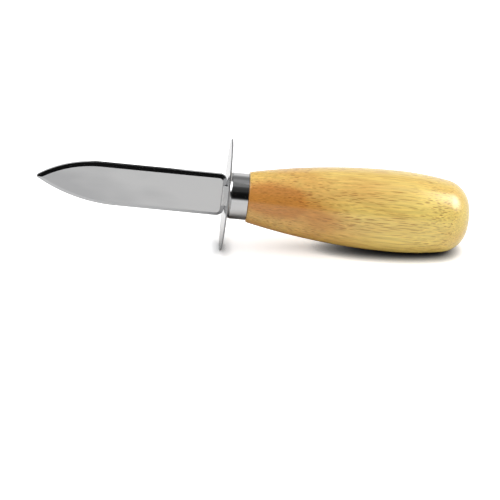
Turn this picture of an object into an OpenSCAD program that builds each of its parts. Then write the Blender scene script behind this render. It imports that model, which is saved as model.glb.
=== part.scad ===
// Oyster knife: a stiff bevelled blade, an oval hand guard, a drawn ferrule and a turned handle.
// Every piece is drawn on the knife's own axis, which is X: the tip points to -X, the spine is up
// and the face of the guard that the ferrule sits on is at X = 0.
// The whole knife is then laid down, on the edge of its guard and on the belly of its handle.

/* [Blade] */
// Length of the blade, from the guard to the tip
blade_len = 84.1; // [78:0.1:110]
// Width of the blade across its parallel sides
blade_w = 20.3; // [16:0.1:24]
// Thickness of the blade
blade_t = 3; // [2.4:0.1:4]
// Length of the straight part of the spine
spine_straight = 56.2; // [45:0.1:65]
// Length of the straight part of the edge, which curves up sooner than the spine comes down
edge_straight = 48.3; // [35:0.1:60]
// Height of the tip above the middle of the blade
tip_rise = 0.7; // [-1:0.1:2]
// Radius of the blunted point
tip_r = 1.5; // [1:0.1:2]
// Width of the bevel that runs round the blade, seen on its flat side
bevel_w = 1.75; // [1:0.05:2.2]
// Depth of that bevel into the thickness
bevel_d = 0.9; // [0.4:0.05:1.1]
// Radius of the two corners at the heel
heel_r = 3.5; // [2.5:0.1:5]

/* [Tang] */
// Width of the tang where it leaves the blade
tang_w = 9.6; // [7:0.1:11]
// Width of the tang at its far end
tang_end_w = 6; // [4:0.1:7]
// Length of the tang behind the guard
tang_len = 62; // [40:0.1:70]
// How far each side of the tang lies below the flat of the blade
tang_inset = 0.2; // [0.1:0.05:0.4]
// Clearance round the tang in the slots of the guard and the ferrule
tang_gap = 0.1; // [0.05:0.05:0.3]

/* [Guard] */
// Long diameter of the oval guard, along the width of the blade
guard_long = 52; // [46:0.1:60]
// Short diameter of the oval guard
guard_short = 37.2; // [32:0.1:44]
// Width of the small flat at each end of the oval, which the knife stands on
guard_foot = 3.4; // [3:0.1:5]
// Thickness of the guard plate
guard_t = 0.7; // [0.6:0.1:2]
// Rounding of the two edges of its rim
guard_edge_r = 0.2; // [0.1:0.05:0.25]

/* [Ferrule] */
// Outer diameter of the ferrule
ferrule_d = 20.8; // [18:0.1:22]
// Length of the ferrule, from the guard to the wood
ferrule_len = 9.2; // [6:0.1:14]
// Thickness of its sheet metal
ferrule_wall = 0.8; // [0.5:0.1:0.9]
// Outer rounding where the wall turns into the end that meets the guard
ferrule_round = 2; // [1:0.1:3]

/* [Handle] */
// Length of the wood behind the ferrule
handle_len = 99.3; // [88:0.1:120]
// Diameter of the wood where it meets the ferrule
neck_d = 22.5; // [21:0.1:26]
// Chamfer on the wood's edge there
neck_edge = 0.4; // [0.2:0.1:0.6]
// Largest diameter of the handle
belly_d = 36.6; // [32:0.1:42]
// Distance from the ferrule to the thickest place
belly_at = 65.1; // [55:0.1:68]
// Radius of the long curve from the thickest place to the butt
back_bow_r = 133; // [110:1:200]
// Radius of the rounding at the butt
butt_r = 12.6; // [8:0.1:14]
// Clearance between the ferrule and the spigot that it is driven on
spigot_gap = 0.05; // [0.05:0.05:0.2]
// Diameter of the hole that is drilled for the tang
bore_d = 12; // [11:0.1:14]
// Room between the end of the tang and the drill's cone
bore_spare = 2; // [1:0.1:5]
// Point angle of the drill
drill_angle = 118; // [90:1:140]

/* [Hidden] */
$fn = 96;
// Overlap of two solids that become one
lap = 0.01;
// Facets of the large circles that the blade's curves are cut from
long_fn = 720;
// Facets of the guard's oval
oval_fn = 144;
// Facets of each edge rounding of the guard's rim
rim_steps = 2;
// Facets of the three curves of the handle's outline, from the ferrule to the butt
front_steps = 30;
back_steps = 14;
butt_steps = 24;
// Larger than any size of the knife, for cutting
big = 300;

// Places along the axis
heel_x = -guard_t;
tip_x = heel_x - blade_len;
spine_end_x = heel_x - spine_straight;
edge_end_x = heel_x - edge_straight;
heel_end_x = heel_x - heel_r;
butt_x = ferrule_len + handle_len;
belly_x = ferrule_len + belly_at;
seat_x = ferrule_wall + spigot_gap;
bore_end_x = tang_len + bore_spare;

// Radii
ferrule_r = ferrule_d / 2;
neck_r = neck_d / 2;
belly_r = belly_d / 2;
bore_r = bore_d / 2;
spigot_r = ferrule_r - ferrule_wall - spigot_gap;

// Thickness of the tang
tang_t = blade_t - 2 * tang_inset;

// Half of the guard's long diameter as it would be without the flats at its ends
oval_r = guard_long / 2 / sqrt(1 - pow(guard_foot / guard_short, 2));

// Radius of an arc that leaves a straight line and has fallen away by drop after a run
function arc_r(run, drop) = (run * run + drop * drop) / (2 * drop);

// The spine and the edge run on as arcs that would cross just beyond the blunted point
point_x = tip_x - tip_r / 2;
spine_arc_r = arc_r(spine_end_x - point_x, blade_w / 2 - tip_rise);
edge_arc_r = arc_r(edge_end_x - point_x, blade_w / 2 + tip_rise);

// The long curve of the handle in front of the thickest place
front_bow_r = arc_r(belly_at, belly_r - neck_r);

// Middle of the butt's rounding, which touches the long curve and the flat of the butt
butt_mid_x = butt_x - butt_r;
back_reach = back_bow_r - butt_r;
butt_mid_r = belly_r - back_bow_r + sqrt(pow(back_reach, 2) - pow(butt_mid_x - belly_x, 2));

// The knife lies down until a level floor touches the rounded rim of the guard and the belly:
// rest_run and rest_rise lead from the middle of the one curve to the middle of the other
rest_run = belly_x + guard_edge_r;
rest_rise = guard_long / 2 - guard_edge_r + back_bow_r - belly_r;
rest_tilt = acos((back_bow_r - guard_edge_r) / norm([rest_run, rest_rise])) - atan2(rest_run, rest_rise);
rest_z = (guard_long / 2 - guard_edge_r) * cos(rest_tilt) - guard_edge_r * sin(rest_tilt) + guard_edge_r;

// Ends of the laid-down knife along X, to put the origin under the middle of its box
low_x = (tip_x + tip_r) * cos(rest_tilt) + tip_rise * sin(rest_tilt) - tip_r;
high_x = butt_mid_x * cos(rest_tilt) + butt_mid_r * sin(rest_tilt) + butt_r;
mid_x = (low_x + high_x) / 2;

// Lays a piece of the knife down
module laid() {
    translate([-mid_x, 0, rest_z]) rotate([0, rest_tilt, 0]) children();
}

// Turns a solid whose axis is Z so that its axis is the knife's
module along_knife() {
    rotate([0, 90, 0]) children();
}

// Blade: cross-section, with Y across the thickness and X towards one side of the blade.
// reach is how far the straight side lies from the middle
module bevelled_half(reach) {
    polygon([
        [0, -blade_t / 2],
        [reach - bevel_w, -blade_t / 2],
        [reach, bevel_d - blade_t / 2],
        [reach, blade_t / 2 - bevel_d],
        [reach - bevel_w, blade_t / 2],
        [0, blade_t / 2]
    ]);
}

// Round plate with the blade's bevel on its rim, lying in the plane of the blade
module bevelled_disc(r, fn) {
    rotate([90, 0, 0]) rotate_extrude($fn = fn) bevelled_half(r);
}

// Straight bar along the blade with the bevel on its upper side, reach above the axis
module bevelled_bar(from_x, to_x, reach) {
    translate([from_x, 0, 0]) along_knife() linear_extrude(to_x - from_x)
        mirror([1, 0]) bevelled_half(reach);
}

// Slice of space between two X values
module between(from_x, to_x) {
    translate([from_x, -big / 2, -big / 2]) cube([to_x - from_x, big, big]);
}

// The curved end of the blade, where the spine stays straight a little longer than the edge
module blade_point() {
    intersection() {
        union() {
            intersection() {
                translate([spine_end_x, 0, blade_w / 2 - spine_arc_r]) bevelled_disc(spine_arc_r, long_fn);
                between(tip_x, spine_end_x);
            }
            translate([0, 0, -blade_w]) bevelled_bar(spine_end_x, edge_end_x, 1.5 * blade_w);
        }
        translate([edge_end_x, 0, edge_arc_r - blade_w / 2]) bevelled_disc(edge_arc_r, long_fn);
        nose();
    }
}

// Space whose end is a round nose, which blunts the point
module nose() {
    nose_x = tip_x + tip_r;
    translate([nose_x, 0, tip_rise]) rotate([90, 0, 0]) cylinder(r = tip_r, h = blade_t * 2, center = true);
    between(nose_x, edge_end_x);
}

// The parallel part of the blade
module blade_straight() {
    for (side = [0, 1]) mirror([0, 0, side]) bevelled_bar(edge_end_x, heel_end_x, blade_w / 2);
}

// The heel: two bevelled corners and the bevelled side between them
module blade_heel() {
    corner_z = blade_w / 2 - heel_r;
    for (side = [0, 1]) mirror([0, 0, side]) intersection() {
        translate([heel_end_x, 0, corner_z]) bevelled_disc(heel_r, $fn);
        translate([heel_end_x, -blade_t, corner_z]) cube([heel_r, 2 * blade_t, heel_r]);
    }
    translate([heel_end_x, 0, -corner_z]) linear_extrude(2 * corner_z) bevelled_half(heel_r);
}

// Tang: flat bar that tapers to a narrower end, drawn from inside the blade.
// play widens it, for the slots that it passes through
module tang(play) {
    half = tang_w / 2 + play;
    rotate([90, 0, 0]) linear_extrude(tang_t + 2 * play, center = true) polygon([
        [heel_end_x, -half],
        [ferrule_len, -half],
        [tang_len, -tang_end_w / 2 - play],
        [tang_len, tang_end_w / 2 + play],
        [ferrule_len, half],
        [heel_end_x, half]
    ]);
}

module blade() {
    color("gainsboro") laid() union() {
        blade_point();
        blade_straight();
        blade_heel();
        tang(0);
    }
}

// Guard: outline of the oval plate, inset from its rim, with the long diameter along X
module guard_outline(inset) {
    intersection() {
        scale([oval_r - inset, guard_short / 2 - inset]) circle(r = 1, $fn = oval_fn);
        square([guard_long - 2 * inset, guard_short], center = true);
    }
}

// Oval plate across the knife, with a rounded rim and a slot that the tang passes through
module guard() {
    color("silver") laid() difference() {
        translate([-guard_t / 2, 0, 0]) along_knife() hull() for (i = [0 : rim_steps]) {
            a = i * 90 / rim_steps;
            thickness = guard_t - 2 * guard_edge_r * (1 - cos(a));
            linear_extrude(thickness, center = true) guard_outline(guard_edge_r * (1 - sin(a)));
        }
        tang(tang_gap);
    }
}

// Half of a round cup with its closed end down: X is the radius, Y the height
module cup_half(r, height, rounding) {
    square([r - rounding, height]);
    translate([0, rounding]) square([r, height - rounding]);
    translate([r - rounding, rounding]) circle(r = rounding);
}

// Ferrule: a cap of sheet metal, drawn with a rounded shoulder and slotted for the tang
module ferrule() {
    inner_r = ferrule_r - ferrule_wall;
    color("silver") laid() difference() {
        along_knife() rotate_extrude() difference() {
            cup_half(ferrule_r, ferrule_len, ferrule_round);
            translate([0, ferrule_wall])
                cup_half(inner_r, ferrule_len, ferrule_round - ferrule_wall);
        }
        tang(tang_gap);
    }
}

// Points on an arc about [mid_r, mid_y], from one angle up to another in equal steps,
// without its first point, which the outline already has
function arc_points(mid_r, mid_y, r, from_a, to_a, steps) = [
    for (i = [1 : steps]) let (a = from_a + (to_a - from_a) * i / steps)
        [mid_r + r * cos(a), mid_y + r * sin(a)]
];

// Handle: half of its outline behind the ferrule, with X the radius and Y the place along it
module handle_half() {
    neck_a = -asin(belly_at / front_bow_r);
    join_a = asin((butt_mid_x - belly_x) / back_reach);
    polygon(concat(
        [[0, ferrule_len], [neck_r - neck_edge, ferrule_len], [neck_r, ferrule_len + neck_edge]],
        arc_points(belly_r - front_bow_r, belly_x, front_bow_r, neck_a, 0, front_steps),
        arc_points(belly_r - back_bow_r, belly_x, back_bow_r, 0, join_a, back_steps),
        arc_points(butt_mid_r, butt_mid_x, butt_r, join_a, 90, butt_steps),
        [[0, butt_x]]
    ));
}

// The drilled hole for the tang, from the face of the spigot to the drill's cone
module bore() {
    cone_h = bore_r / tan(drill_angle / 2);
    along_knife() translate([0, 0, seat_x]) cylinder(r = bore_r, h = bore_end_x - seat_x);
    along_knife() translate([0, 0, bore_end_x]) cylinder(r1 = bore_r, r2 = 0, h = cone_h);
}

// Turned wood: a barrel with a spigot inside the ferrule and a drilled hole for the tang
module handle() {
    spigot_round = ferrule_round - ferrule_wall;
    color("goldenrod") laid() difference() {
        along_knife() rotate_extrude() union() {
            translate([0, seat_x]) cup_half(spigot_r, ferrule_len - seat_x + lap, spigot_round);
            handle_half();
        }
        bore();
    }
}

// Cement that fills the drilled hole round the tang
module tang_cement() {
    color("saddlebrown") laid() difference() {
        bore();
        tang(0);
    }
}

blade();
guard();
ferrule();
handle();
tang_cement();
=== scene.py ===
import math

import bmesh
import bpy
from mathutils import Matrix, Vector


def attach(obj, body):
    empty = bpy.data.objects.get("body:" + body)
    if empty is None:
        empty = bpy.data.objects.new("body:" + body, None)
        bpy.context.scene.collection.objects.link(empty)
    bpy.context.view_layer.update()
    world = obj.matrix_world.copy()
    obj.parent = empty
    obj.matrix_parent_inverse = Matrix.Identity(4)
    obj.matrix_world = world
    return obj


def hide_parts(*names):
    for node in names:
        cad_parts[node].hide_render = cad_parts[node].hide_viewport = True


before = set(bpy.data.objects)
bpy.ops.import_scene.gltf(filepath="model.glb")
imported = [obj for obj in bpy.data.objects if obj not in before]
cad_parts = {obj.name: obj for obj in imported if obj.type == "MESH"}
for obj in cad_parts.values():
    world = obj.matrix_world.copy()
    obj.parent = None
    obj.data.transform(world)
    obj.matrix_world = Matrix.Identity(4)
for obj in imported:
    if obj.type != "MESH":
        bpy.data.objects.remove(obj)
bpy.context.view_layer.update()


# Blade: a stiff bar of stainless steel, blanked with its tang in one piece, ground with one
# even bevel all round and polished. The point is blunted and the heel's corners are rounded.
blade_len, blade_w, blade_t = 84.1, 20.3, 3.0
spine_straight, edge_straight = 56.2, 48.3
tip_rise, tip_r = 0.7, 1.5
bevel_w, bevel_d = 1.75, 0.9
heel_r = 3.5
tang_w, tang_end_w, tang_len, tang_t = 9.6, 6.0, 62.0, 2.6
guard_t, ferrule_len = 0.7, 9.2
# Places are in millimetres on the knife's own axes: X along it with the tip at -X, Z up on the
# spine's side, and 0 at the front of the ferrule.
heel_x = -guard_t
heel_end_x = heel_x - heel_r
tip_x = heel_x - blade_len
spine_end_x = heel_x - spine_straight
edge_end_x = heel_x - edge_straight
point_x = tip_x - tip_r / 2
half_w = blade_w / 2


def arc_radius(run, drop):
    return (run * run + drop * drop) / (2 * drop)


spine_r = arc_radius(spine_end_x - point_x, half_w - tip_rise)
edge_r = arc_radius(edge_end_x - point_x, half_w + tip_rise)
spine_mid = Vector((spine_end_x, half_w - spine_r))
edge_mid = Vector((edge_end_x, edge_r - half_w))
nose_mid = Vector((tip_x + tip_r, tip_rise))
corner_z = half_w - heel_r


def round_corner(before, corner, after, radius, steps):
    """Points of the arc that rounds a corner between two neighbouring points."""
    a = (Vector(before) - Vector(corner)).normalized()
    b = (Vector(after) - Vector(corner)).normalized()
    half = a.angle(b) / 2
    mid = Vector(corner) + (a + b).normalized() * radius / math.sin(half)
    start = Vector(corner) + a * radius / math.tan(half) - mid
    end = Vector(corner) + b * radius / math.tan(half) - mid
    sweep = start.angle_signed(end)
    return [tuple(mid + Matrix.Rotation(-sweep * i / steps, 2) @ start) for i in range(steps + 1)]


def depth_inside(p):
    """How far a place on the blade's side lies from its outline, the nose left aside."""
    over = p.y - half_w if p.x > spine_end_x else (p - spine_mid).length - spine_r
    under = -p.y - half_w if p.x > edge_end_x else (p - edge_mid).length - edge_r
    reach = [-over, -under, heel_x - p.x]
    if p.x > heel_end_x and abs(p.y) > corner_z:
        reach.append(heel_r - (p - Vector((heel_end_x, math.copysign(corner_z, p.y)))).length)
    return min(reach)


def blade_outline(inset):
    """The blade's outline drawn in from its rim by inset, blunted where it passes the nose."""
    apart = edge_mid - spine_mid
    r1, r2 = spine_r - inset, edge_r - inset
    along = (apart.length_squared + r1 * r1 - r2 * r2) / (2 * apart.length)
    aside = math.sqrt(r1 * r1 - along * along)
    unit = apart.normalized()
    crossings = [spine_mid + unit * along + Vector((-unit.y, unit.x)) * s * aside for s in (-1, 1)]
    point = min(crossings, key=lambda c: c.x)

    def arc(mid, r, start, end, steps):
        angles = [start + (end - start) * i / steps for i in range(steps)]
        return [mid + r * Vector((math.cos(a), math.sin(a))) for a in angles]

    def line(x0, x1, z, steps):
        return [Vector((x0 + (x1 - x0) * i / steps, z)) for i in range(steps)]

    quarter = math.pi / 2
    to_point = point - edge_mid
    from_point = point - spine_mid
    edge_point_a = math.atan2(to_point.y, to_point.x)
    if edge_point_a > 0:
        edge_point_a -= 2 * math.pi
    spine_point_a = math.atan2(from_point.y, from_point.x)
    outline = line(heel_end_x, edge_end_x, inset - half_w, 16)
    outline += arc(edge_mid, r2, -quarter, edge_point_a, 44)
    outline += arc(spine_mid, r1, spine_point_a, quarter, 36)
    outline += line(spine_end_x, heel_end_x, half_w - inset, 18)
    small = heel_r - inset
    outline += arc(Vector((heel_end_x, corner_z)), small, quarter, 0, 8)
    outline += [Vector((heel_x - inset, corner_z * (1 - i / 5))) for i in range(10)]
    outline += arc(Vector((heel_end_x, -corner_z)), small, 0, -quarter, 8)
    blunt = []
    for p in outline:
        from_nose = p - nose_mid
        if p.x < nose_mid.x and from_nose.length > tip_r:
            p = nose_mid + from_nose.normalized() * tip_r
        blunt.append(p)
    return blunt


# The knife lies with its point up by a few degrees, because it rests on the end of the guard
# and the belly of the handle.
MM = 0.001
REST_TILT = math.radians(5.442845)
REST_SHIFT = Vector((-12.0325, 0, 25.8647)) * MM
LAID = Matrix.Translation(REST_SHIFT) @ Matrix.Rotation(REST_TILT, 4, "Y") @ Matrix.Scale(MM, 4)
sharp_angle = math.radians(40)


class Shape:
    """Points and faces of one piece. Points in the same place are one point."""

    def __init__(self):
        self.points, self.faces, self.known = [], [], {}

    def point(self, x, y, z):
        key = (round(x, 5), round(y, 5), round(z, 5))
        if key not in self.known:
            self.known[key] = len(self.points)
            self.points.append((x, y, z))
        return self.known[key]

    def face(self, corners):
        kept = [c for i, c in enumerate(corners) if c != corners[i - 1]]
        if len(set(kept)) > 2:
            self.faces.append(kept)

    def band(self, ring, following):
        for i in range(len(ring)):
            self.face([ring[i - 1], ring[i], following[i], following[i - 1]])

    def mesh(self, name):
        data = bpy.data.meshes.new(name)
        data.from_pydata(self.points, [], self.faces)
        work = bmesh.new()
        work.from_mesh(data)
        bmesh.ops.recalc_face_normals(work, faces=work.faces)
        work.to_mesh(data)
        work.free()
        return data


def put_in_place(name, data, node):
    """Makes a piece from a mesh on the knife's axes, lays it down, hangs it on the root body and
    hides the CAD node that it stands for.
    """
    data.transform(LAID)
    piece = bpy.data.objects.new(name, data)
    bpy.context.scene.collection.objects.link(piece)
    data.polygons.foreach_set("use_smooth", [True] * len(data.polygons))
    data.set_sharp_from_angle(angle=sharp_angle)
    even = piece.modifiers.new("even_shading", "WEIGHTED_NORMAL")
    even.keep_sharp = True
    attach(piece, "root")
    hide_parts(node)
    return piece


def joined(first, second, how):
    """The mesh that a boolean of two meshes leaves."""
    a, b = (bpy.data.objects.new("work", m) for m in (first, second))
    for o in (a, b):
        bpy.context.scene.collection.objects.link(o)
    cut = a.modifiers.new("cut", "BOOLEAN")
    cut.object, cut.operation, cut.solver = b, how, "EXACT"
    seen = a.evaluated_get(bpy.context.evaluated_depsgraph_get())
    made = bpy.data.meshes.new_from_object(seen)
    for o in (a, b):
        bpy.data.objects.remove(o)
    return made


def tang_bar(play, from_x):
    """The flat bar behind the blade, wider all round by play."""
    bar = Shape()
    half, end_half, y = tang_w / 2 + play, tang_end_w / 2 + play, tang_t / 2 + play
    side = [(from_x, -half), (ferrule_len, -half), (tang_len, -end_half),
            (tang_len, end_half), (ferrule_len, half), (from_x, half)]
    near = [bar.point(x, -y, z) for x, z in side]
    far = [bar.point(x, y, z) for x, z in side]
    bar.band(near, far)
    bar.face(near)
    bar.face(far[::-1])
    return bar.mesh("tang")


rim_round, crease_round = 0.15, 0.4
rim_y, flat_y = blade_t / 2 - bevel_d, blade_t / 2
section = [(0.0, 0.0)]
section += round_corner((0, 0), (0, rim_y), (bevel_w, flat_y), rim_round, 3)
section += round_corner((0, rim_y), (bevel_w, flat_y), (2 * bevel_w, flat_y), crease_round, 4)
section += [(bevel_w + 0.7, flat_y)]
blade_shape = Shape()
for side in (-1, 1):
    rings = []
    for inset, y in section:
        ring = []
        for p in blade_outline(inset):
            # On the blunted nose the rim stands as high as the bevel does there.
            lift = bevel_d / bevel_w * max(0.0, depth_inside(p) - inset)
            ring.append(blade_shape.point(p.x, side * min(flat_y, y + (lift if y else 0)), p.y))
        rings.append(ring)
    for ring, following in zip(rings, rings[1:]):
        blade_shape.band(ring, following)
    blade_shape.face(rings[-1])
blade = put_in_place(
    "blade_steel", joined(blade_shape.mesh("blade"), tang_bar(0, heel_end_x), "UNION"), "blade")


def new_finish(name):
    """An empty material with its output and its Principled shader."""
    finish = bpy.data.materials.new(name)
    finish.use_nodes = True
    return finish, finish.node_tree.nodes["Principled BSDF"]


def add(finish, kind, inputs=None, **settings):
    """Adds a node, sets it up and links or fills its inputs."""
    node = finish.node_tree.nodes.new("ShaderNode" + kind)
    for name, value in settings.items():
        setattr(node, name, value)
    for name, value in (inputs or {}).items():
        feed(finish, node, name, value)
    return node


def feed(finish, node, name, value):
    if isinstance(value, bpy.types.NodeSocket):
        finish.node_tree.links.new(value, node.inputs[name])
    else:
        node.inputs[name].default_value = value


def dress(piece, finish):
    piece.data.materials.clear()
    piece.data.materials.append(finish)


def on_knife(finish):
    """The place on the knife's own axes, in millimetres."""
    return add(finish, "Mapping", {
        "Vector": add(finish, "TexCoord").outputs["Object"], "Location": REST_SHIFT,
        "Rotation": (0, REST_TILT, 0), "Scale": (MM, MM, MM)}, vector_type="TEXTURE").outputs[0]


def streaks(finish, per_mm, seed=0.0, detail=3.0):
    """Noise that is drawn out along the knife: per_mm gives its fineness along X, Y and Z."""
    place = on_knife(finish)
    scaled = add(finish, "VectorMath", {0: place, 1: per_mm}, operation="MULTIPLY")
    moved = add(finish, "VectorMath", {
        0: scaled.outputs[0], 1: (seed, seed, seed)}, operation="ADD")
    return add(finish, "TexNoise", {"Vector": moved.outputs[0], "Scale": 1.0, "Detail": detail,
                                    "Roughness": 0.55})


def spread(finish, value, low, high, to_low, to_high):
    """Moves a value from one range to another."""
    return add(finish, "MapRange", {"Value": value, "From Min": low, "From Max": high,
                                    "To Min": to_low, "To Max": to_high}).outputs["Result"]


def mix(finish, factor, a, b, how="MIX"):
    """Mixes two colours."""
    node = add(finish, "Mix", {0: factor, 6: a, 7: b}, data_type="RGBA", blend_type=how)
    return node.outputs[2]


def calc(finish, operation, a, b=0.0):
    return add(finish, "Math", {0: a, 1: b}, operation=operation).outputs[0]


def facing(finish, axis):
    """How squarely the surface faces along one axis: 1 where it does, 0 where it lies along it."""
    normal = add(finish, "SeparateXYZ", {0: add(finish, "TexCoord").outputs["Normal"]})
    return calc(finish, "ABSOLUTE", normal.outputs[axis])


def polish_lines(finish, shader, height, strength):
    """The fine lines that grinding and polishing leave."""
    lines = add(finish, "Bump", {"Height": height, "Strength": strength, "Distance": 0.02 * MM})
    feed(finish, shader, "Normal", lines.outputs["Normal"])


steel_dark, steel_light = (0.40, 0.40, 0.405, 1), (0.50, 0.50, 0.50, 1)
bevel_steel = (0.50, 0.50, 0.505, 1)
blade_finish, shader = new_finish("polished_blade_steel")
grind = streaks(blade_finish, (0.02, 0.4, 2.6))
clouds = streaks(blade_finish, (0.03, 0.05, 0.09), seed=7.0, detail=2.0)
tone = add(blade_finish, "ValToRGB", {"Fac": clouds.outputs["Fac"]})
for mark, position, colour in zip(tone.color_ramp.elements, (0.3, 0.7), (steel_dark, steel_light)):
    mark.position, mark.color = position, colour
# Over the random clouds, the blade's tone grows lighter towards the heel: a painted reflection that
# stands in for the brighter floor the face mirrors there.
painted_reflection_toward_heel = spread(blade_finish, add(blade_finish, "SeparateXYZ", {
    0: on_knife(blade_finish)}).outputs[0], -85.0, -8.0, -0.28, 0.30)
feed(blade_finish, tone, "Fac", calc(blade_finish, "ADD", clouds.outputs["Fac"], painted_reflection_toward_heel))
bevel = spread(blade_finish, facing(blade_finish, 1), 0.985, 0.93, 0.0, 1.0)
feed(blade_finish, shader, "Base Color", mix(
    blade_finish, bevel, tone.outputs["Color"], bevel_steel))
shader.inputs["Metallic"].default_value = 1.0
feed(blade_finish, shader, "Roughness", spread(
    blade_finish, grind.outputs["Fac"], 0.3, 0.7, 0.07, 0.16))
polish_lines(blade_finish, shader, grind.outputs["Fac"], 0.12)
dress(blade, blade_finish)


# Guard: an oval plate blanked from polished stainless sheet, its edge rounded by tumbling.
# It has a slot, through which it is threaded on the tang, and is held between the heel of
# the blade and the ferrule.
guard_long, guard_short, guard_foot, guard_edge_r = 52.0, 37.2, 3.4, 0.2
slot_play = 0.1
oval_r = guard_long / 2 / math.sqrt(1 - (guard_foot / guard_short) ** 2)
oval_steps, rim_steps = 240, 6


def oval(inset):
    """The oval, with the long way along Z and a small flat at each end."""
    ring = []
    for i in range(oval_steps):
        a = 2 * math.pi * (i + 0.5) / oval_steps
        z = (oval_r - inset) * math.cos(a)
        end = guard_long / 2 - inset
        ring.append(((guard_short / 2 - inset) * math.sin(a), max(-end, min(end, z))))
    return ring


plate = Shape()
rim = []
for i in range(rim_steps + 1):
    a = math.pi / 2 * i / rim_steps
    rim.append((guard_edge_r * (1 - math.sin(a)), guard_edge_r * (1 - math.cos(a))))
rings = []
for inset, back in rim:
    rings.append([plate.point(-guard_t + back, y, z) for y, z in oval(inset)])
for inset, back in rim[::-1]:
    rings.append([plate.point(-back, y, z) for y, z in oval(inset)])
for ring, following in zip(rings, rings[1:]):
    plate.band(ring, following)
plate.face(rings[0])
plate.face(rings[-1][::-1])
guard = put_in_place("guard_plate", joined(
    plate.mesh("guard"), tang_bar(slot_play, heel_end_x), "DIFFERENCE"), "guard")

face_steel, rim_steel = (0.60, 0.60, 0.605, 1), (0.30, 0.30, 0.305, 1)
guard_finish, shader = new_finish("polished_guard_steel")
shader.inputs["Metallic"].default_value = 1.0
rolled = streaks(guard_finish, (0.3, 0.25, 1.8), seed=3.0)
# The steel is darker and rougher towards the rim, where the surface turns away from the faces.
toward_rim = spread(guard_finish, facing(guard_finish, 0), 0.9, 0.6, 0.0, 1.0)
feed(guard_finish, shader, "Base Color", mix(guard_finish, toward_rim, face_steel, rim_steel))
smooth = spread(guard_finish, rolled.outputs["Fac"], 0.3, 0.7, 0.06, 0.16)
feed(guard_finish, shader, "Roughness", calc(guard_finish, "MAXIMUM", smooth, calc(
    guard_finish, "MULTIPLY", toward_rim, 0.45)))
polish_lines(guard_finish, shader, rolled.outputs["Fac"], 0.1)
dress(guard, guard_finish)


# Ferrule: a cap drawn from thin stainless sheet and polished in the lathe. Its closed end,
# with a rounded shoulder, lies on the guard, and its open end is driven over the handle.
ferrule_d, ferrule_wall, ferrule_round = 20.8, 0.8, 2.0

def turned(profile, name, steps):
    """A solid of revolution from points (place along the axis, radius)."""
    body = Shape()
    rings = []
    for x, r in profile:
        ring = []
        for i in range(steps):
            a = 2 * math.pi * i / steps
            ring.append(body.point(x, r * math.sin(a), r * math.cos(a)))
        rings.append(ring)
    for ring, following in zip(rings, rings[1:]):
        body.band(ring, following)
    return body.mesh(name)


outer, inner = ferrule_d / 2, ferrule_d / 2 - ferrule_wall
end_x, mouth_x = 0.0, ferrule_len
profile = [(end_x, 0.0), (end_x, 4.0)]
profile += round_corner((end_x, 0), (end_x, outer), (mouth_x, outer), ferrule_round, 10)
profile += [(mouth_x / 2, outer)]
profile += round_corner((0, outer), (mouth_x, outer), (mouth_x, inner), 0.3, 4)
profile += round_corner((mouth_x, outer), (mouth_x, inner), (0, inner), 0.15, 3)
profile += round_corner((mouth_x, inner), (ferrule_wall, inner), (ferrule_wall, 0),
                        ferrule_round - ferrule_wall, 6)
profile += [(ferrule_wall, 4.0), (ferrule_wall, 0.0)]
ferrule = put_in_place("ferrule_cap", joined(
    turned(profile, "ferrule", 192), tang_bar(slot_play, heel_end_x), "DIFFERENCE"), "ferrule")

ferrule_finish, shader = new_finish("polished_ferrule_steel")
shader.inputs["Base Color"].default_value = (0.54, 0.54, 0.54, 1)
shader.inputs["Metallic"].default_value = 1.0
lathe = streaks(ferrule_finish, (3.5, 0.02, 0.02), seed=5.0)
feed(ferrule_finish, shader, "Roughness", spread(
    ferrule_finish, lathe.outputs["Fac"], 0.3, 0.7, 0.05, 0.14))
polish_lines(ferrule_finish, shader, lathe.outputs["Fac"], 0.1)
dress(ferrule, ferrule_finish)


# Handle: a barrel of pale open-pored hardwood, turned, sanded and dipped in clear lacquer that
# yellows it. A spigot at its front is inside the ferrule, and the tang is set in its drilled hole.
handle_len, neck_d, neck_edge = 99.3, 22.5, 0.4
belly_d, belly_at, back_bow_r, butt_r = 36.6, 65.1, 133.0, 12.6
spigot_gap, bore_d, bore_spare, drill_angle = 0.05, 12.0, 2.0, math.radians(118)
butt_x, belly_x = ferrule_len + handle_len, ferrule_len + belly_at
seat_x, bore_end_x = ferrule_wall + spigot_gap, tang_len + bore_spare
neck_r, belly_r, bore_r = neck_d / 2, belly_d / 2, bore_d / 2
spigot_r = inner - spigot_gap
front_bow_r = arc_radius(belly_at, belly_r - neck_r)
butt_mid_x = butt_x - butt_r
back_reach = back_bow_r - butt_r
join_a = math.asin((butt_mid_x - belly_x) / back_reach)
butt_mid_r = belly_r - back_bow_r + back_reach * math.cos(join_a)


def bow(mid_x, mid_r, r, start, end, steps):
    """Points on an arc of the handle's outline. Angles are from straight out to the butt."""
    return [(mid_x + r * math.sin(start + (end - start) * i / steps),
             mid_r + r * math.cos(start + (end - start) * i / steps)) for i in range(1, steps + 1)]


profile = [(bore_end_x + bore_r / math.tan(drill_angle / 2), 0.0), (bore_end_x, bore_r)]
profile += [(seat_x, bore_r)]
profile += round_corner((seat_x, 0), (seat_x, spigot_r), (ferrule_len, spigot_r), 1.2, 5)
profile += [(ferrule_len, spigot_r)]
profile += round_corner(
    (ferrule_len, spigot_r), (ferrule_len, neck_r), (butt_x, neck_r), neck_edge, 4)
neck_a = -math.asin(belly_at / front_bow_r)
start_a = neck_a + (1.2 * neck_edge) / front_bow_r
profile += bow(belly_x, belly_r - front_bow_r, front_bow_r, start_a, 0, 90)
profile += bow(belly_x, belly_r - back_bow_r, back_bow_r, 0, join_a, 36)
profile += bow(butt_mid_x, butt_mid_r, butt_r, join_a, math.pi / 2, 28)
profile += [(butt_x, 0.0)]
handle = put_in_place("handle_wood", turned(profile, "handle", 256), "handle")


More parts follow.
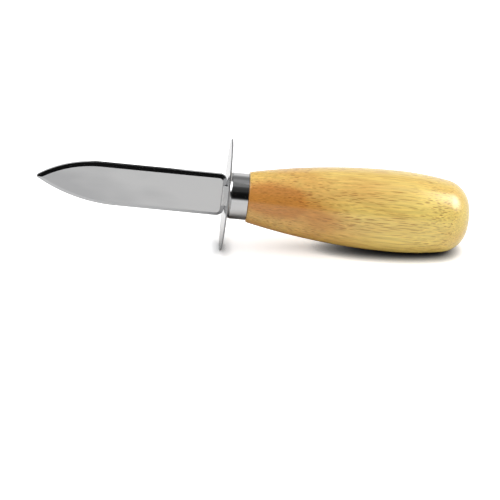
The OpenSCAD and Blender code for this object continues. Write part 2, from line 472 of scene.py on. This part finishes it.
wood, shader = new_finish("lacquered_wood")
place = on_knife(wood)
drift = streaks(wood, (0.012, 0.03, 0.03), seed=11.0, detail=1.0)
drifted = add(wood, "VectorMath", {
    0: drift.outputs["Color"], 1: (0.0, 3.0, 3.0)}, operation="MULTIPLY")
fibres = add(wood, "VectorMath", {0: place, 1: drifted.outputs[0]}, operation="ADD")


def pores(across, along, size, seed):
    """Vessels that the surface cuts open: short dark dashes along the grain, dots on the end."""
    scaled = add(wood, "VectorMath", {0: fibres.outputs[0], 1: (1 / along, 1 / across, 1 / across)},
                 operation="MULTIPLY")
    moved = add(wood, "VectorMath", {0: scaled.outputs[0], 1: (seed, seed * 1.7, seed * 2.3)},
                operation="ADD")
    cells = add(wood, "TexVoronoi", {"Vector": moved.outputs[0], "Scale": 1.0, "Randomness": 1.0})
    return spread(wood, cells.outputs["Distance"], size, size * 0.65, 0.0, 1.0)


crowding = streaks(wood, (0.02, 0.12, 0.12), seed=21.0, detail=2.0)
crowded = spread(wood, crowding.outputs["Fac"], 0.35, 0.62, 0.4, 1.0)
long_pores = pores(0.82, 20.0, 0.25, 3.1)
short_pores = pores(0.62, 15.0, 0.27, 8.4)
fine_pores = pores(0.45, 10.0, 0.3, 15.7)
open_pores = calc(wood, "MAXIMUM", calc(wood, "MAXIMUM", long_pores, short_pores),
                  calc(wood, "MULTIPLY", fine_pores, 0.6))
filled = spread(wood, facing(wood, 0), 0.2, 0.65, 1.0, 0.3)
pore_tone = calc(wood, "MULTIPLY", calc(wood, "MULTIPLY", open_pores, crowded), filled)

blotch = streaks(wood, (0.018, 0.05, 0.05), seed=31.0, detail=3.0)
along_x = add(wood, "SeparateXYZ", {0: place}).outputs[0]
near_neck = spread(wood, along_x, 75.0, 12.0, 0.0, 1.0)
warmth = calc(wood, "ADD", spread(wood, blotch.outputs["Fac"], 0.35, 0.65, -0.15, 0.45),
              calc(wood, "MULTIPLY", near_neck, 0.55))


def patch(mid, length, width, strength):
    """A darker patch in the figure, longer along the grain than across it."""
    shift = add(wood, "VectorMath", {0: fibres.outputs[0], 1: mid}, operation="SUBTRACT")
    shape = add(wood, "VectorMath", {0: shift.outputs[0], 1: (1 / length, 1 / width, 1 / width)},
                operation="MULTIPLY")
    away = add(wood, "VectorMath", {0: shape.outputs[0]}, operation="LENGTH").outputs["Value"]
    return spread(wood, away, 1.0, 0.3, 0.0, strength)


straw, honey, pore_brown = (0.93, 0.70, 0.19, 1), (0.62, 0.26, 0.05, 1), (0.33, 0.10, 0.018, 1)
for mid, length, width, strength in (((16, -12, 8), 20, 12, 0.6), ((40, -16, 3), 18, 9, 0.16)):
    warmth = calc(wood, "ADD", warmth, patch(mid, length, width, strength))
warmth = add(wood, "Math", {0: warmth, 1: 0.0}, operation="ADD", use_clamp=True).outputs[0]
ground_tone = mix(wood, warmth, straw, honey)
fibre = streaks(wood, (0.05, 1.6, 1.6), seed=41.0, detail=4.0)
fibre_tone = spread(wood, fibre.outputs["Fac"], 0.3, 0.7, 0.80, 1.12)
striped = add(wood, "VectorMath", {0: ground_tone, "Scale": fibre_tone}, operation="SCALE")
pored = mix(wood, calc(wood, "MULTIPLY", pore_tone, 0.9), striped.outputs[0], pore_brown)
feed(wood, shader, "Base Color", pored)
shader.inputs["Roughness"].default_value = 0.42
shader.inputs["Specular IOR Level"].default_value = 0.15
shader.inputs["Coat Weight"].default_value = 0.95
shader.inputs["Coat Roughness"].default_value = 0.13
dents = calc(wood, "SUBTRACT", spread(wood, fibre.outputs["Fac"], 0.3, 0.7, 0.0, 0.35), pore_tone)
skin = add(wood, "Bump", {"Height": dents, "Strength": 0.35, "Distance": 0.06 * MM})
feed(wood, shader, "Normal", skin.outputs["Normal"])
lacquer = add(wood, "Bump", {"Height": dents, "Strength": 0.18, "Distance": 0.04 * MM})
feed(wood, shader, "Coat Normal", lacquer.outputs["Normal"])
dress(handle, wood)


# Cement: resin that is poured round the tang in the drilled hole, and sets hard and brown.
# Nothing of it shows on the finished knife.
cement_dark, cement_light = (0.045, 0.022, 0.010, 1), (0.11, 0.055, 0.025, 1)
cement, shader = new_finish("set_cement")
lumps = streaks(cement, (0.9, 0.9, 0.9), seed=2.0)
cement_tone = add(cement, "ValToRGB", {"Fac": lumps.outputs["Fac"]})
for mark, colour in zip(cement_tone.color_ramp.elements, (cement_dark, cement_light)):
    mark.color = colour
feed(cement, shader, "Base Color", cement_tone.outputs["Color"])
shader.inputs["Roughness"].default_value = 0.7
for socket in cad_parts["tang_cement"].material_slots:
    socket.material = cement


# Studio: a plain pale floor that runs out into white, one broad soft light overhead and a
# little to the right, and matt cards and a soft box that only the metal and the lacquer see.
floor_white, seen_lift = 0.94, 0.6
shade_reach, contact_reach = 70 * MM, 6 * MM
floor_finish, shader = new_finish("pale_floor")
path = add(floor_finish, "LightPath")
shader.inputs["Roughness"].default_value = 1.0
shader.inputs["Specular IOR Level"].default_value = 0.0


def openness(reach):
    """How open the floor is above a place: 1 where nothing stands within reach."""
    return add(floor_finish, "AmbientOcclusion", {"Distance": reach}, samples=24).outputs["AO"]


def up_to_one(value, factor):
    return calc(floor_finish, "MINIMUM", 1.0, calc(floor_finish, "MULTIPLY", value, factor))


# To the camera the floor glows a little, so that it runs out into white. It keeps the lamp's
# shadow, and is darker where the knife is near it. The steel sees it darkened there too.
open_sky = calc(floor_finish, "POWER", openness(shade_reach), 2.0)
nearness = calc(floor_finish, "MULTIPLY", up_to_one(open_sky, 12.0), calc(
    floor_finish, "POWER", openness(contact_reach), 1.2))
mirrored = spread(
    floor_finish, path.outputs["Is Glossy Ray"], 0.0, 1.0, 1.0, up_to_one(open_sky, 2.4))
contact = spread(floor_finish, path.outputs["Is Camera Ray"], 0.0, 1.0, 1.0, nearness)
floor_tone = calc(floor_finish, "MULTIPLY", calc(
    floor_finish, "MULTIPLY", mirrored, contact), floor_white)
feed(floor_finish, shader, "Base Color", add(
    floor_finish, "CombineColor", {0: floor_tone, 1: floor_tone, 2: floor_tone}).outputs[0])
shader.inputs["Emission Color"].default_value = (1, 1, 1, 1)
feed(floor_finish, shader, "Emission Strength", spread(
    floor_finish, path.outputs["Is Camera Ray"], 0.0, 1.0, 0.0, calc(
        floor_finish, "MULTIPLY", nearness, seen_lift)))
floor_data = bpy.data.meshes.new("floor")
reach = 3.0
floor_data.from_pydata([(x * reach, y * reach, 0) for x, y in (
    (-1, -1), (1, -1), (1, 1), (-1, 1))], [], [(0, 1, 2, 3)])
floor = bpy.data.objects.new("floor", floor_data)
bpy.context.scene.collection.objects.link(floor)
floor.data.materials.append(floor_finish)

world = bpy.data.worlds.new("white_room")
bpy.context.scene.world = world
world.use_nodes = True
sky = world.node_tree.nodes["Background"]
path = add(world, "LightPath")
shown = calc(world, "MAXIMUM", path.outputs["Is Camera Ray"], calc(
    world, "MAXIMUM", path.outputs["Is Glossy Ray"], path.outputs["Is Transmission Ray"]))
sky.inputs["Color"].default_value = (1, 1, 1, 1)
feed(world, sky, "Strength", spread(world, shown, 0.0, 1.0, 0.08, 1.0))

overhead_light = bpy.data.lights.new("overhead", "SUN")
overhead_light.energy = 3.25
overhead_light.angle = math.radians(96)
overhead = bpy.data.objects.new("overhead", overhead_light)
bpy.context.scene.collection.objects.link(overhead)
overhead.rotation_euler = Vector((-0.20, 0.06, -1)).to_track_quat("-Z", "Y").to_euler()
overhead.visible_glossy = False


def hold_up(name, sheet, finish):
    """Stands a sheet in the studio, where only mirror-like surfaces see it."""
    held = bpy.data.objects.new(name, sheet.mesh(name))
    bpy.context.scene.collection.objects.link(held)
    held.data.materials.append(finish)
    held.visible_camera = held.visible_diffuse = held.visible_shadow = False
    held.visible_transmission = held.visible_volume_scatter = False
    return held


def card(name, azimuths, far, stops):
    """A curved card that stands round the knife. Azimuth 0 is towards -Y, where the camera
    stands, and 90 towards +X. Stops are elevations with the card's tone there."""
    sheet = Shape()
    rows = []
    low, high = stops[0][0], stops[-1][0]
    steps = 24
    for i in range(steps + 1):
        e = math.radians(low + (high - low) * i / steps)
        row = []
        for j in range(steps + 1):
            a = math.radians(azimuths[0] + (azimuths[1] - azimuths[0]) * j / steps)
            out = far * math.cos(e)
            row.append(sheet.point(out * math.sin(a), -out * math.cos(a), far * math.sin(e)))
        rows.append(row)
    for below, above in zip(rows, rows[1:]):
        for j in range(steps):
            sheet.face([below[j], below[j + 1], above[j + 1], above[j]])
    finish, shader = new_finish(name + "_tone")
    height = add(finish, "SeparateXYZ", {0: add(finish, "TexCoord").outputs["Object"]}).outputs[2]
    elevation = calc(finish, "ARCSINE", calc(finish, "DIVIDE", height, far))
    shades = add(finish, "ValToRGB", {"Fac": spread(
        finish, elevation, math.radians(low), math.radians(high), 0.0, 1.0)})
    ramp = shades.color_ramp.elements
    while len(ramp) < len(stops):
        ramp.new(0.5)
    most = max(tone for _, tone in stops)
    for mark, (e, tone) in zip(ramp, stops):
        mark.position = (e - low) / (high - low)
        mark.color = (tone / most, tone / most, tone / most, 1)
    glow = add(finish, "Emission", {"Color": shades.outputs["Color"], "Strength": most})
    finish.node_tree.nodes.remove(shader)
    feed(finish, finish.node_tree.nodes["Material Output"], "Surface", glow.outputs[0])
    hold_up(name, sheet, finish)


card("front_card", (-80, 80), 1.6, [
    (5, 0.75), (9, 0.25), (13, 0.03), (17, 0.008), (36, 0.010), (43, 0.02), (47, 0.055), (58, 0.06),
    (66, 0.10), (69, 0.13), (71, 0.28), (80, 0.29), (90, 0.36)])
card("back_card", (110, 250), 1.6, [
    (31, 0.95), (37, 0.60), (45, 0.36), (50, 0.30), (62, 0.31), (68, 0.44), (80, 0.44), (90, 0.36)])
card("spine_card", (181.1, 196), 0.35, [(17, 0.03), (40, 0.03)])
card("top_card", (-180, 180), 1.5, [(80, 0.29), (89.9, 0.36)])


def softbox(name, azimuth, elevation, far, half_width, peak):
    """A flat card that faces the knife and glows from its middle, fading out to its rim."""
    a, e = math.radians(azimuth), math.radians(elevation)
    place = far * Vector((math.sin(a) * math.cos(e), -math.cos(a) * math.cos(e), math.sin(e)))
    sheet = Shape()
    sheet.face([sheet.point(x * half_width, y * half_width, 0) for x, y in (
        (-1, -1), (1, -1), (1, 1), (-1, 1))])
    finish, shader = new_finish(name + "_tone")
    away = add(finish, "VectorMath", {
        0: add(finish, "TexCoord").outputs["Object"]}, operation="LENGTH")
    bright = add(finish, "MapRange", {
        "Value": away.outputs["Value"], "From Min": half_width, "From Max": 0.0, "To Min": 0.0,
        "To Max": 1.0}, interpolation_type="SMOOTHERSTEP").outputs["Result"]
    glow = add(finish, "Emission", {"Strength": calc(finish, "MULTIPLY", bright, peak)})
    clear = add(finish, "BsdfTransparent")
    both = add(finish, "AddShader", {0: glow.outputs[0], 1: clear.outputs[0]})
    finish.node_tree.nodes.remove(shader)
    feed(finish, finish.node_tree.nodes["Material Output"], "Surface", both.outputs[0])
    box = hold_up(name, sheet, finish)
    box.location = place
    box.rotation_euler = (-place).to_track_quat("-Z", "Y").to_euler()


softbox("side_softbox", 85, 41, 1.4, 0.82, 12.0)


# Camera: a long lens in front of the blade's flat, a little above the knife and
# turned to its left, so that the guard is seen almost edge on.
turn, dip, roll = math.radians(1.3328), math.radians(26.4138), math.radians(1.1426)
camera_far = 1043.026 * MM
focal_px, picture_px, sensor_w = 2311.11, 500, 36
aim = Vector((-12.3178, 0, -5.4876)) * MM
look = Vector((math.sin(turn) * math.cos(dip), math.cos(turn) * math.cos(dip), -math.sin(dip)))
level = Vector((math.cos(turn), -math.sin(turn), 0))
upward = level.cross(look)
right = math.cos(roll) * level + math.sin(roll) * upward
top = math.cos(roll) * upward - math.sin(roll) * level
camera = bpy.data.objects.new("camera", bpy.data.cameras.new("camera"))
bpy.context.scene.collection.objects.link(camera)
camera.matrix_world = Matrix.Translation(aim - camera_far * look) @ Matrix(
    (right, top, -look)).transposed().to_4x4()
camera.data.sensor_width = sensor_w
camera.data.lens = focal_px / picture_px * sensor_w
camera.data.shift_x = 0.05
camera.data.shift_y = 0.016
camera.data.clip_start = 0.01
bpy.context.scene.camera = camera
bpy.context.scene.view_settings.view_transform = "Standard"
